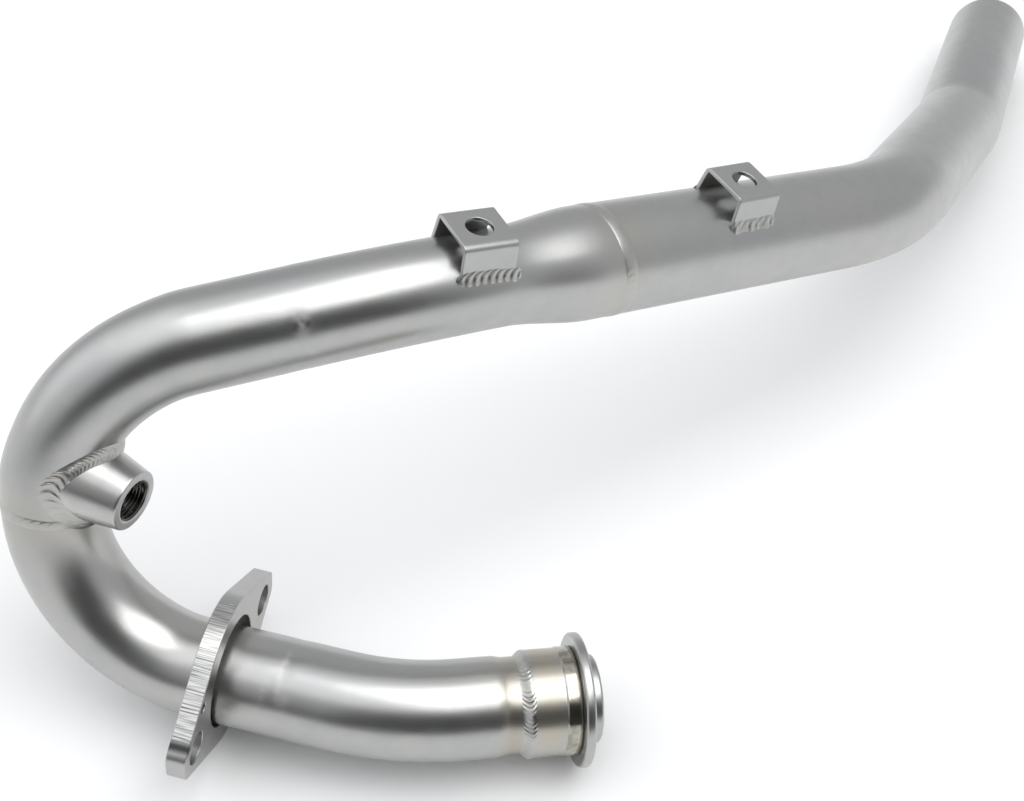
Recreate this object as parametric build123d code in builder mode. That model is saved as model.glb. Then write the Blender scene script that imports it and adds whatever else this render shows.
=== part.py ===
from build123d import *
from math import radians, tan
import os

os.makedirs("parts", exist_ok=True)

# Motorcycle exhaust header, lying as it comes to rest, in millimetres, +Z up.
# It stands on the collar rim, on the edge of the loose flange and on the tail's mouth.

# tube sizes
head_od = 42.4
tail_od = 50.8
tube_wall = 1.2
head_r = head_od / 2
tail_r = tail_od / 2
head_bore_r = head_r - tube_wall
tail_bore_r = tail_r - tube_wall

# centreline of the whole header, from the port to the mouth: the way each straight leads, the
# clear length it keeps between its bends, and the radius of each bend
port_corner = Vector(-200.1, -120.5, 25.75)
port_way = Vector(-100.8, 71.6, 7.38)
lead_way = Vector(-84.6, 144.7, -2.2)
rise_way = Vector(43.7, 0.3, 126.2)
over_way = Vector(115.2, -65.4, 13.4)
run_way = Vector(276.7, -61.7, -63.5)
drop_way = Vector(169.5, 53.7, -52.6)
mouth_way = Vector(156.5, 69.9, -29.4)
port_straight = 96.99
lead_straight = 58.61
rise_straight = 0.62
over_straight = 37.16
run_straight = 209.89
drop_straight = 141.91
mouth_straight = 165.82
lead_bend_r = 123.0
low_bend_r = 68.8
high_bend_r = 75.5
run_bend_r = 204.0
drop_bend_r = 135.0
turn_bend_r = 100.0


def bend_reach(way_in, way_out, radius):
    """Length that a bend takes up on either straight, from its corner to where it starts."""
    return radius * tan(radians(way_in.get_angle(way_out)) / 2)


# each corner lies past the last one by that bend's reach, the clear straight and its own reach
lead_reach = bend_reach(port_way, lead_way, lead_bend_r)
low_reach = bend_reach(lead_way, rise_way, low_bend_r)
high_reach = bend_reach(rise_way, over_way, high_bend_r)
run_reach = bend_reach(over_way, run_way, run_bend_r)
drop_reach = bend_reach(run_way, drop_way, drop_bend_r)
turn_reach = bend_reach(drop_way, mouth_way, turn_bend_r)
lead_corner = port_corner + port_way.normalized() * (port_straight + lead_reach)
low_corner = lead_corner + lead_way.normalized() * (lead_reach + lead_straight + low_reach)
high_corner = low_corner + rise_way.normalized() * (low_reach + rise_straight + high_reach)
run_corner = high_corner + over_way.normalized() * (high_reach + over_straight + run_reach)
drop_corner = run_corner + run_way.normalized() * (run_reach + run_straight + drop_reach)
turn_corner = drop_corner + drop_way.normalized() * (drop_reach + drop_straight + turn_reach)
mouth_point = turn_corner + mouth_way.normalized() * (turn_reach + mouth_straight)


def straight_plane(start, end, distance, x_dir=None):
    """Plane square to the straight from start to end, at a distance from start."""
    direction = (end - start).normalized()
    return Plane(origin=start + direction * distance, x_dir=x_dir, z_dir=direction)


# port collar, turned in one piece; stations run from the sleeve's mouth towards the port
collar_mouth = 70.0
sleeve_r = head_r + 1.45
sleeve_length = 13.9
band_r = sleeve_r + 0.4
band_step = 0.6
groove_r = sleeve_r - 0.45
groove_width = 0.5
rim_r = head_r + 7.3
rim_back = sleeve_length + 6.7
rim_face = rim_back + 4.3
spigot_r = head_r - 2.4
spigot_end = rim_face + 5.4
spigot_bore_r = spigot_r - 1.8
rim_edge = 0.8
socket_depth = 11.0
tube_clearance = 0.05

# the two tubes' routes overlap in the low bend and run past it, by a share of its radius, before the cut
low_overrun = 1.25

# the head tube's end is drawn in to fit the collar's socket
neck_r = head_r - 0.85
neck_out = 9.0
neck_blend = 4.5

# expanded end of the bend tube, measured along the run from run_corner: it starts just past
# the last bend
swage_gap = 2.79
swage_start = run_reach + swage_gap
swage_length = 44.0
swage_past_seam = 12.0

# seams between the tubes: the station on the bend tube's centreline or run, and the joint's
# direction; both joints were cut a few degrees off square
low_seam_station = 112.0
low_seam_dir = Vector(0.305, 0.130, 0.943)
run_seam_gap = 9.4
run_seam_distance = swage_start + swage_length + run_seam_gap
run_seam_dir = Vector(0.983, -0.153, -0.098)
low_seam_proud = 0.35
run_seam_proud = 0.6
seam_half_width = 2.3
seam_root = 0.1
collar_bead_half = 2.7
collar_bead_height = 2.0
collar_bead_back = 1.65
collar_bead_proud = 0.1

# loose two-bolt flange, shown as it lies on the head tube
flange_thickness = 8.3
flange_clearance = 3.1
flange_bore_r = head_r + flange_clearance
flange_core_r = flange_bore_r + 9.9
flange_half_length = 52.7
flange_end_half = 8.4
flange_corner_r = 5.0
stud_spacing = 80.7
stud_hole_r = 7.0
spring_hole_r = 2.65
spring_hole_x = 31.2
spring_hole_y = 15.0
flange_point = Vector(-340.3, 19.3, 34.43)
flange_long_dir = Vector(-0.840, -0.541, 0.043)
flange_face_dir = Vector(0.537, -0.840, -0.072)

# heat-shield brackets, two alike, bent from strip; the front one sits just before the tube
# widens, the rear one past the run's seam
bracket_length = 25.1
bracket_width = 25.6
bracket_sheet = 2.0
bracket_fold_r = 3.0
bracket_leg = 13.9
bracket_trim = 4.0
bracket_foot_half = 14.6
bracket_hole_r = 6.0
bracket_bead_r = 2.6
bracket_bead_over = 2.5
front_before_swage = 14.8
front_along = Vector(0.941, -0.287, -0.178)
front_up = Vector(0.157, -0.096, 0.983)
rear_past_seam = 72.7
rear_distance = run_seam_distance + rear_past_seam
rear_along = Vector(0.958, -0.188, -0.216)
rear_up = Vector(0.190, -0.147, 0.971)

# sensor boss, a cone with a threaded hole, on the inside of the U-bend
boss_station = 130.6
boss_dir = Vector(0.316, -0.944, -0.093)
boss_reach = 38.7
boss_face_r = 13.0
boss_base_r = 16.3
boss_thread_r = 8.2
boss_chamfer = 0.9
boss_bead_out = 3.6
boss_bead_up = 3.4
boss_bead_top = 8.0
boss_root = 9.5


# port collar
collar_plane = straight_plane(lead_corner, port_corner, (port_corner - lead_corner).length - collar_mouth)
collar_section = Plane(origin=collar_plane.origin, x_dir=collar_plane.z_dir, z_dir=collar_plane.x_dir)
with BuildPart() as port_collar:
    with BuildSketch(collar_section):
        with BuildLine():
            Polyline(
                (0, neck_r + tube_clearance),
                (0, sleeve_r),
                (sleeve_length, sleeve_r),
                (sleeve_length + band_step, band_r),
                (rim_back - groove_width, band_r),
                (rim_back - groove_width, groove_r),
                (rim_back, groove_r),
                (rim_back, rim_r - rim_edge),
                (rim_back + rim_edge, rim_r),
                (rim_face - rim_edge, rim_r),
                (rim_face, rim_r - rim_edge),
                (rim_face, spigot_r),
                (spigot_end - rim_edge, spigot_r),
                (spigot_end, spigot_r - rim_edge),
                (spigot_end, spigot_bore_r),
                (socket_depth, spigot_bore_r),
                (socket_depth, neck_r + tube_clearance),
                close=True,
            )
        make_face()
    revolve(axis=Axis(collar_plane.origin, collar_plane.z_dir))
port_collar.part.label = "port_collar"
export_step(port_collar.part, "parts/port_collar.step")


# tube paths, each with the full bore and outer form kept for trimming its neighbours
def corner_towards(corner, other, distance):
    """Point on the straight that leaves a corner for the next one."""
    return corner + (other - corner).normalized() * distance


def swept_round(points, radii, radius):
    """Solid round bar along straight runs joined by tangent arcs."""
    with BuildPart() as bar:
        with BuildLine() as path:
            FilletPolyline(*points, radius=radii)
        with BuildSketch(Plane(origin=path.line @ 0, z_dir=path.line % 0)):
            Circle(radius)
        sweep()
    return bar.part


def seam_ring(origin, direction, surface_r, proud):
    """Full-penetration weld ring: an ellipse turned round the joint."""
    joint = Plane(origin=origin, z_dir=direction)
    with BuildPart() as ring:
        with BuildSketch(Plane(origin=origin, x_dir=joint.x_dir, z_dir=-joint.y_dir)):
            depth = proud + tube_wall + seam_root
            with Locations((surface_r + proud - depth / 2, 0)):
                Ellipse(depth / 2, seam_half_width)
        revolve(axis=Axis(origin, joint.z_dir))
    return ring.part


neck_end = collar_mouth + neck_out + neck_blend
low_tangent = low_overrun * low_bend_r
head_points = [
    corner_towards(port_corner, lead_corner, neck_end),
    lead_corner,
    low_corner,
    corner_towards(low_corner, high_corner, low_tangent),
]
head_radii = [lead_bend_r, low_bend_r]
bend_points = [
    corner_towards(low_corner, lead_corner, low_tangent),
    low_corner,
    high_corner,
    run_corner,
    corner_towards(run_corner, drop_corner, swage_start),
]
bend_radii = [low_bend_r, high_bend_r, run_bend_r]
tail_points = [
    corner_towards(run_corner, drop_corner, swage_start + swage_length),
    drop_corner,
    turn_corner,
    mouth_point,
]
tail_radii = [drop_bend_r, turn_bend_r]
with BuildLine():
    bend_path = FilletPolyline(*bend_points, radius=bend_radii)
low_seam_point = bend_path.position_at(low_seam_station, position_mode=PositionMode.LENGTH)
low_seam = Plane(origin=low_seam_point, z_dir=low_seam_dir)
run_seam_point = corner_towards(run_corner, drop_corner, run_seam_distance)
run_seam = Plane(origin=run_seam_point, z_dir=run_seam_dir)
run_plane = Plane(
    origin=run_corner,
    x_dir=(drop_corner - run_corner).normalized(),
    z_dir=(drop_corner - run_corner).cross(Vector(0, 0, 1)).normalized(),
)
run_axis = Axis(run_corner, drop_corner - run_corner)
front_station = bend_path.length - front_before_swage
boss_point = bend_path.position_at(boss_station, position_mode=PositionMode.LENGTH)
boss_dir = boss_dir.normalized()
boss_plane = Plane(origin=boss_point, z_dir=boss_dir)
boss_section = Plane(origin=boss_point, x_dir=boss_dir, z_dir=boss_plane.x_dir)


def swage_form(inset):
    """The bend tube's expanded end, from the last bend to past the seam, less a wall inset."""
    with BuildPart() as form:
        with BuildSketch(run_plane):
            with BuildLine():
                Spline(
                    (swage_start, head_r - inset),
                    (swage_start + swage_length, tail_r - inset),
                    tangents=((1, 0), (1, 0)),
                )
                Polyline(
                    (swage_start + swage_length, tail_r - inset),
                    (run_seam_distance + swage_past_seam, tail_r - inset),
                    (run_seam_distance + swage_past_seam, 0),
                    (swage_start, 0),
                    (swage_start, head_r - inset),
                )
            make_face()
        revolve(axis=run_axis)
    return form.part


def neck_form(inset):
    """The head tube's drawn-in end, from the socket to the full size, less a wall inset."""
    with BuildPart() as form:
        with BuildSketch(collar_section):
            with BuildLine():
                Polyline(
                    (-neck_out, neck_r - inset),
                    (socket_depth, neck_r - inset),
                    (socket_depth, 0),
                    (-neck_out - neck_blend, 0),
                    (-neck_out - neck_blend, head_r - inset),
                )
                Spline(
                    (-neck_out - neck_blend, head_r - inset),
                    (-neck_out, neck_r - inset),
                    tangents=((1, 0), (1, 0)),
                )
            make_face()
        revolve(axis=Axis(collar_plane.origin, collar_plane.z_dir))
    return form.part


# seams first: the tubes are cut back by them
low_seam_ring = seam_ring(low_seam_point, low_seam_dir, head_r, low_seam_proud)
run_seam_ring = seam_ring(run_seam_point, run_seam_dir, tail_r, run_seam_proud)
for ring_part, ring_name in ((low_seam_ring, "low_seam_weld"), (run_seam_ring, "run_seam_weld")):
    ring_part.label = ring_name
    export_step(ring_part, f"parts/{ring_name}.step")

# head tube
with BuildPart() as head_tube:
    add(swept_round(head_points, head_radii, head_r))
    add(neck_form(0))
    add(swept_round(head_points, head_radii, head_bore_r), mode=Mode.SUBTRACT)
    add(neck_form(tube_wall), mode=Mode.SUBTRACT)
    split(bisect_by=low_seam, keep=Keep.BOTTOM)
    add(low_seam_ring, mode=Mode.SUBTRACT)
head_tube.part.label = "head_tube"
export_step(head_tube.part, "parts/head_tube.step")

# bend tube with its expanded end and the sensor opening
with BuildPart() as bend_core:
    add(swept_round(bend_points, bend_radii, head_r))
    add(swage_form(0))
with BuildPart() as bend_tube:
    add(bend_core.part)
    add(swept_round(bend_points, bend_radii, head_bore_r), mode=Mode.SUBTRACT)
    add(swage_form(tube_wall), mode=Mode.SUBTRACT)
    split(bisect_by=low_seam, keep=Keep.TOP)
    split(bisect_by=run_seam, keep=Keep.BOTTOM)
    add(low_seam_ring, mode=Mode.SUBTRACT)
    add(run_seam_ring, mode=Mode.SUBTRACT)
    with BuildSketch(boss_plane):
        Circle(boss_thread_r)
    extrude(amount=boss_reach, mode=Mode.SUBTRACT)
bend_tube.part.label = "bend_tube"
export_step(bend_tube.part, "parts/bend_tube.step")

# tail tube
with BuildPart() as tail_core:
    add(swept_round(tail_points, tail_radii, tail_r))
with BuildPart() as tail_tube:
    add(tail_core.part)
    add(swept_round(tail_points, tail_radii, tail_bore_r), mode=Mode.SUBTRACT)
    split(bisect_by=run_seam, keep=Keep.TOP)
    add(run_seam_ring, mode=Mode.SUBTRACT)
tail_tube.part.label = "tail_tube"
export_step(tail_tube.part, "parts/tail_tube.step")

# collar weld, in the corner between the sleeve's mouth and the neck
with BuildPart() as collar_weld:
    with BuildSketch(collar_section):
        with Locations((-collar_bead_back, sleeve_r + collar_bead_proud - collar_bead_height)):
            Ellipse(collar_bead_half, collar_bead_height)
        Rectangle(2 * socket_depth, 2 * neck_r, mode=Mode.SUBTRACT)
        Rectangle(socket_depth, 2 * band_r, align=(Align.MIN, Align.CENTER), mode=Mode.SUBTRACT)
    revolve(axis=Axis(collar_plane.origin, collar_plane.z_dir))
collar_weld.part.label = "collar_weld"
export_step(collar_weld.part, "parts/collar_weld.step")

# loose flange
flange_plane = Plane(origin=flange_point, x_dir=flange_long_dir, z_dir=flange_face_dir)
with BuildPart() as loose_flange:
    with BuildSketch(flange_plane):
        Circle(flange_core_r)
        with Locations((flange_half_length - flange_end_half, 0), (flange_end_half - flange_half_length, 0)):
            RectangleRounded(2 * flange_end_half, 2 * flange_end_half, flange_corner_r)
        make_hull()
        Circle(flange_bore_r, mode=Mode.SUBTRACT)
        with Locations((stud_spacing / 2, 0), (-stud_spacing / 2, 0)):
            Circle(stud_hole_r, mode=Mode.SUBTRACT)
        with Locations((spring_hole_x, -spring_hole_y), (-spring_hole_x, spring_hole_y)):
            Circle(spring_hole_r, mode=Mode.SUBTRACT)
    extrude(amount=flange_thickness / 2, both=True)
loose_flange.part.label = "loose_flange"
export_step(loose_flange.part, "parts/loose_flange.step")


# brackets and their beads
def bracket_on(tube_form, tube_r, centre, along, upward, name):
    """A folded channel astride a tube, trimmed to it, with a bead along each foot."""
    foot_z = (tube_r**2 - bracket_foot_half**2) ** 0.5
    top_z = foot_z + bracket_leg
    along = along.normalized()
    side = upward.cross(along).normalized()
    upward = along.cross(side)
    section = Plane(origin=centre, x_dir=side, z_dir=along)
    half = bracket_width / 2
    spread = (bracket_foot_half - half) / bracket_leg * bracket_trim
    foot_out = bracket_foot_half + spread
    with BuildPart() as bracket:
        with BuildSketch(section):
            with BuildLine():
                FilletPolyline(
                    (-foot_out, foot_z - bracket_trim),
                    (-half, top_z),
                    (half, top_z),
                    (foot_out, foot_z - bracket_trim),
                    radius=bracket_fold_r,
                )
                Line((foot_out, foot_z - bracket_trim), (foot_out - bracket_sheet, foot_z - bracket_trim))
                FilletPolyline(
                    (foot_out - bracket_sheet, foot_z - bracket_trim),
                    (half - bracket_sheet, top_z - bracket_sheet),
                    (bracket_sheet - half, top_z - bracket_sheet),
                    (bracket_sheet - foot_out, foot_z - bracket_trim),
                    radius=bracket_fold_r - bracket_sheet,
                )
                Line((bracket_sheet - foot_out, foot_z - bracket_trim), (-foot_out, foot_z - bracket_trim))
            make_face()
        extrude(amount=bracket_length / 2, both=True)
        with BuildSketch(Plane(origin=centre + upward * top_z, x_dir=along, z_dir=upward)):
            Circle(bracket_hole_r)
        extrude(amount=-2 * bracket_sheet, mode=Mode.SUBTRACT)
        add(tube_form, mode=Mode.SUBTRACT)
    bracket.part.label = name
    export_step(bracket.part, f"parts/{name}.step")
    for sign, place in ((-1, "near"), (1, "far")):
        foot = centre + side * (sign * bracket_foot_half) + upward * foot_z
        with BuildPart() as bead:
            with Locations(Plane(origin=foot, z_dir=along)):
                Cylinder(bracket_bead_r, bracket_length + 2 * bracket_bead_over - 2 * bracket_bead_r)
            ends = bracket_length / 2 + bracket_bead_over - bracket_bead_r
            with Locations(foot + along * ends, foot - along * ends):
                Sphere(bracket_bead_r)
            add(tube_form, mode=Mode.SUBTRACT)
            add(bracket.part, mode=Mode.SUBTRACT)
        bead.part.label = f"{name}_weld_{place}"
        export_step(bead.part, f"parts/{name}_weld_{place}.step")


front_centre = bend_path.position_at(front_station, position_mode=PositionMode.LENGTH)
rear_centre = corner_towards(run_corner, drop_corner, rear_distance)
bracket_on(bend_core.part, head_r, front_centre, front_along, front_up, "front_bracket")
bracket_on(tail_core.part, tail_r, rear_centre, rear_along, rear_up, "rear_bracket")

# sensor boss and its bead
boss_slope = (boss_base_r - boss_face_r) / (boss_reach - head_r)


def boss_radius(reach):
    """Outer radius of the boss at a distance from the tube's centreline."""
    return boss_face_r + (boss_reach - reach) * boss_slope


with BuildPart() as sensor_boss:
    with BuildSketch(boss_section):
        with BuildLine():
            Polyline(
                (boss_root, boss_radius(boss_root)),
                (boss_reach - boss_chamfer / 2, boss_radius(boss_reach - boss_chamfer / 2)),
                (boss_reach, boss_face_r - boss_chamfer / 2),
                (boss_reach, boss_thread_r + boss_chamfer),
                (boss_reach - boss_chamfer, boss_thread_r),
                (boss_root, boss_thread_r),
                close=True,
            )
        make_face()
    revolve(axis=Axis(boss_point, boss_dir))
    add(bend_core.part, mode=Mode.SUBTRACT)
    add(low_seam_ring, mode=Mode.SUBTRACT)
sensor_boss.part.label = "sensor_boss"
export_step(sensor_boss.part, "parts/sensor_boss.step")

with BuildPart() as boss_weld:
    with BuildSketch(boss_section):
        with BuildLine():
            Polyline(
                (boss_root, boss_thread_r),
                (boss_root, boss_radius(boss_root) + boss_bead_out),
                (head_r + boss_bead_top, boss_radius(head_r + boss_bead_top)),
                (head_r + boss_bead_top, boss_thread_r),
                close=True,
            )
        make_face()
    revolve(axis=Axis(boss_point, boss_dir))
    add(swept_round(bend_points, bend_radii, head_r + boss_bead_up), mode=Mode.INTERSECT)
    add(bend_core.part, mode=Mode.SUBTRACT)
    add(sensor_boss.part, mode=Mode.SUBTRACT)
    add(low_seam_ring, mode=Mode.SUBTRACT)
boss_weld.part.label = "boss_weld"
export_step(boss_weld.part, "parts/boss_weld.step")
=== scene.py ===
import math

import bmesh
import bpy
import numpy as np
from mathutils import Matrix, Vector
from mathutils.geometry import convex_hull_2d


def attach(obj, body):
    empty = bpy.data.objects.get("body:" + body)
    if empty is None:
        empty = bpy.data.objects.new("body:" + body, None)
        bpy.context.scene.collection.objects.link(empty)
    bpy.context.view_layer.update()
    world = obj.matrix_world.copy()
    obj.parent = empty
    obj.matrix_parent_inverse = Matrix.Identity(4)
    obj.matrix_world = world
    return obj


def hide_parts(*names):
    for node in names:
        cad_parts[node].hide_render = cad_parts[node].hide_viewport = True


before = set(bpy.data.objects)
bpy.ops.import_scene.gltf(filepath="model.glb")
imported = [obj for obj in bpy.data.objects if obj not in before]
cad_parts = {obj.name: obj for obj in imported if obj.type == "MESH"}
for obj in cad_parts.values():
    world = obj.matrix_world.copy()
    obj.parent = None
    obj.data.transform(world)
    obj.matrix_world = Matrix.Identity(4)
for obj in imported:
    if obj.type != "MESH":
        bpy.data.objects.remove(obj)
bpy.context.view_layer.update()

MM = 0.001

# The route and the sizes of the header, the same ones as its solids have, in millimetres.
HEAD_R = 21.2
TAIL_R = 25.4
WALL = 1.2
PORT_CORNER = (-200.1, -120.5, 25.75)
LEAD_CORNER = (-300.9, -48.9, 33.13)
LOW_CORNER = (-385.5, 95.8, 30.93)
HIGH_CORNER = (-341.8, 96.1, 157.13)
RUN_CORNER = (-226.6, 30.7, 170.53)
DROP_CORNER = (50.1, -31.0, 107.03)
TURN_CORNER = (219.6, 22.7, 54.43)
MOUTH_POINT = (376.1, 92.6, 25.03)
LEAD_BEND_R = 123.0
LOW_BEND_R = 68.8
HIGH_BEND_R = 75.5
RUN_BEND_R = 204.0
DROP_BEND_R = 135.0
TURN_BEND_R = 100.0
COLLAR_MOUTH = 70.0
SLEEVE_R = HEAD_R + 1.45
SLEEVE_LENGTH = 13.9
BAND_R = SLEEVE_R + 0.4
GROOVE_R = SLEEVE_R - 0.45
GROOVE_WIDTH = 0.5
RIM_R = HEAD_R + 7.3
RIM_BACK = SLEEVE_LENGTH + 6.7
RIM_FACE = RIM_BACK + 4.3
SPIGOT_R = HEAD_R - 2.4
SPIGOT_END = RIM_FACE + 5.4
SPIGOT_BORE_R = SPIGOT_R - 1.8
RIM_EDGE = 1.2
SOCKET_DEPTH = 11.0
NECK_R = HEAD_R - 0.85
NECK_OUT = 9.0
NECK_BLEND = 4.5
SWAGE_START = 48.0
SWAGE_LENGTH = 44.0
RUN_SEAM = 101.4
LOW_SEAM_STATION = 112.0
LOW_SEAM_DIR = (0.305, 0.130, 0.943)
RUN_SEAM_DIR = (0.983, -0.153, -0.098)
FLANGE_THICKNESS = 8.3
FLANGE_BORE_R = HEAD_R + 3.1
FLANGE_CORE_R = FLANGE_BORE_R + 9.9
FLANGE_HALF = 52.7
FLANGE_END_HALF = 8.4
FLANGE_CORNER_R = 5.0
STUD_SPACING = 80.7
STUD_HOLE_R = 7.0
SIDE_HOLE_R = 2.65
SIDE_HOLE_X = 31.2
SIDE_HOLE_Y = 15.0
FLANGE_POINT = (-340.3, 19.3, 34.43)
FLANGE_LONG = (-0.840, -0.541, 0.043)
FLANGE_FACE = (0.537, -0.840, -0.072)
BRACKET_LENGTH = 25.1
BRACKET_WIDTH = 25.6
BRACKET_SHEET = 2.0
BRACKET_FOLD_R = 3.0
BRACKET_LEG = 13.9
BRACKET_FOOT_HALF = 14.6
BRACKET_HOLE_R = 6.0
FRONT_STATION = 328.2
FRONT_ALONG = (0.941, -0.287, -0.178)
FRONT_UP = (0.157, -0.096, 0.983)
REAR_DISTANCE = 174.1
REAR_ALONG = (0.958, -0.188, -0.216)
REAR_UP = (0.190, -0.147, 0.971)
BOSS_STATION = 130.6
BOSS_DIR = (0.316, -0.944, -0.093)
BOSS_REACH = 38.7
BOSS_FACE_R = 13.0
BOSS_BASE_R = 16.3
BOSS_THREAD_R = 8.2
THREAD_PITCH = 1.5
THREAD_DEPTH = 0.8
ALONG_UV = "along_and_around"
TROUGH = "trough"


# Numbers

def unit(vectors):
    """Each vector divided by its own length."""
    vectors = np.asarray(vectors, float)
    return vectors / np.linalg.norm(vectors, axis=-1, keepdims=True)


def smooth(value, low, high):
    """0 below low, 1 above high, and 3x^2 - 2x^3 of the share x between them."""
    x = np.clip((value - low) / (high - low), 0.0, 1.0)
    return x * x * (3 - 2 * x)


def turned(vectors, axis, angles):
    """Rodrigues' formula: each vector turned about a unit axis by its own angle."""
    c, s = np.cos(angles)[..., None], np.sin(angles)[..., None]
    return vectors * c + np.cross(axis, vectors) * s + axis * (vectors @ axis)[..., None] * (1 - c)


def full_turn(count):
    """Angles round a whole turn in equal steps."""
    return np.linspace(0, 2 * math.pi, count, endpoint=False)


class Route:
    """A centreline of straights joined by tangent arcs, with a frame carried along it untwisted.

    A bend of radius R that turns by a takes R tan(a/2) off both straights at its corner.
    Points in it are the bend's centre plus R times the start's outward arm turned by the angle.
    """

    def __init__(self, corners, radii, step=0.25):
        corners = np.asarray(corners, float)
        heading = unit(np.diff(corners, axis=0))
        side = unit(np.cross(heading[0], (0.0, 0.0, 1.0)))
        here, station = corners[0], 0.0
        rows = []
        self.bend_from, self.bend_to, self.tangent = [], [], []
        for k, radius in enumerate(list(radii) + [None]):
            start, forward = here, heading[k]
            if radius is None:
                end = corners[-1]
            else:
                turn = math.acos(float(forward @ heading[k + 1]))
                reach = radius * math.tan(turn / 2)
                end = corners[k + 1] - forward * reach
            length = float(np.linalg.norm(end - start))
            t = np.linspace(0, length, max(2, int(length / step)), endpoint=radius is None)
            rows.append(self._rows(start + forward * t[:, None], forward, side, station + t, 0 * forward))
            station += length
            if radius is None:
                break
            axis = unit(np.cross(forward, heading[k + 1]))
            inward = np.cross(axis, forward)
            angle = np.linspace(0, turn, max(2, int(radius * turn / step)), endpoint=False)
            arm = turned(np.tile(-inward, (len(angle), 1)), axis, angle)
            points = end + inward * radius + arm * radius
            rows.append(self._rows(points, turned(np.tile(forward, (len(angle), 1)), axis, angle),
                                   turned(np.tile(side, (len(angle), 1)), axis, angle),
                                   station + radius * angle, -arm))
            self.bend_from.append(station)
            self.tangent.append(reach)
            station += radius * turn
            self.bend_to.append(station)
            side = turned(side[None, :], axis, np.array([turn]))[0]
            here = corners[k + 1] + heading[k + 1] * reach
        self.table = np.concatenate(rows)
        self.length = station

    @staticmethod
    def _rows(points, forward, side, stations, inward):
        """Table rows: station, point, heading, side vector and bend direction."""
        n = len(points)
        cells = [np.broadcast_to(x, (n, 3)) for x in (points, forward, side, inward)]
        return np.concatenate([stations[:, None]] + cells, axis=1)

    def at(self, stations):
        """Points, headings, side vectors and bend directions at any array of stations."""
        s = np.asarray(stations, float)
        columns = [np.interp(s, self.table[:, 0], self.table[:, k]) for k in range(1, 13)]
        point, forward, side, inward = (np.stack(columns[k:k + 3], axis=-1) for k in (0, 3, 6, 9))
        forward = unit(forward)
        side = unit(side - forward * (side * forward).sum(-1, keepdims=True))
        return point, forward, side, inward

    def skin(self, stations, angles, radii):
        """Point on a round skin: the centreline plus the radius along the side vector turned by the angle."""
        point, forward, side, _ = self.at(stations)
        up = np.cross(forward, side)
        outward = side * np.cos(angles)[..., None] + up * np.sin(angles)[..., None]
        return point + outward * np.asarray(radii)[..., None], outward

    def cut(self, station, direction, angles, radii):
        """Station at which each generator of the skin meets the plane through the centreline
        at the station, square to the direction: four steps of Newton's rule."""
        origin = self.at(np.array([station]))[0][0]
        direction = unit(direction)
        s = np.full(np.broadcast(angles, radii).shape, float(station))
        for _ in range(4):
            points, _ = self.skin(s, angles, radii)
            forward = self.at(s)[1]
            s = s - ((points - origin) @ direction) / (forward @ direction)
        return s


ROUTE = Route(
    [PORT_CORNER, LEAD_CORNER, LOW_CORNER, HIGH_CORNER, RUN_CORNER, DROP_CORNER, TURN_CORNER, MOUTH_POINT],
    [LEAD_BEND_R, LOW_BEND_R, HIGH_BEND_R, RUN_BEND_R, DROP_BEND_R, TURN_BEND_R],
)
BEND_TUBE_START = ROUTE.bend_from[1] + ROUTE.tangent[1] - 1.25 * LOW_BEND_R
RUN_CORNER_STATION = ROUTE.bend_to[3] - ROUTE.tangent[3]
LOW_SEAM = BEND_TUBE_START + LOW_SEAM_STATION
RUN_SEAM_AT = RUN_CORNER_STATION + RUN_SEAM
BOSS_AT = BEND_TUBE_START + BOSS_STATION
FRONT_AT = BEND_TUBE_START + FRONT_STATION
REAR_AT = RUN_CORNER_STATION + REAR_DISTANCE
AROUND = full_turn(240)


def filleted(corners, radii, steps=5):
    """A closed outline with each corner rounded: the arc touches both sides at radius over the
    tangent of half the corner's angle, and its points turn evenly about its centre."""
    corners = np.asarray(corners, float)
    radii = np.broadcast_to(radii, len(corners))
    out = []
    for k, corner in enumerate(corners):
        back = unit(corners[k - 1] - corner)
        ahead = unit(corners[(k + 1) % len(corners)] - corner)
        if radii[k] <= 0:
            out.append(corner[None, :])
            continue
        half = math.acos(float(np.clip(back @ ahead, -1, 1))) / 2
        reach = radii[k] / math.tan(half)
        centre = corner + unit(back + ahead) * (radii[k] / math.sin(half))
        first, last = corner + back * reach - centre, corner + ahead * reach - centre
        share = np.linspace(0, 1, steps)[:, None]
        out.append(centre + unit(first * (1 - share) + last * share) * radii[k])
    return np.concatenate(out)


def divided(outline, longest):
    """A closed outline with points added so that no side is longer than a given length."""
    nxt = np.roll(outline, -1, axis=0)
    parts = [a + (b - a) * np.linspace(0, 1, max(2, int(np.linalg.norm(b - a) / longest) + 2))[:-1, None]
             for a, b in zip(outline, nxt)]
    return np.concatenate(parts)


# Meshes

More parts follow.
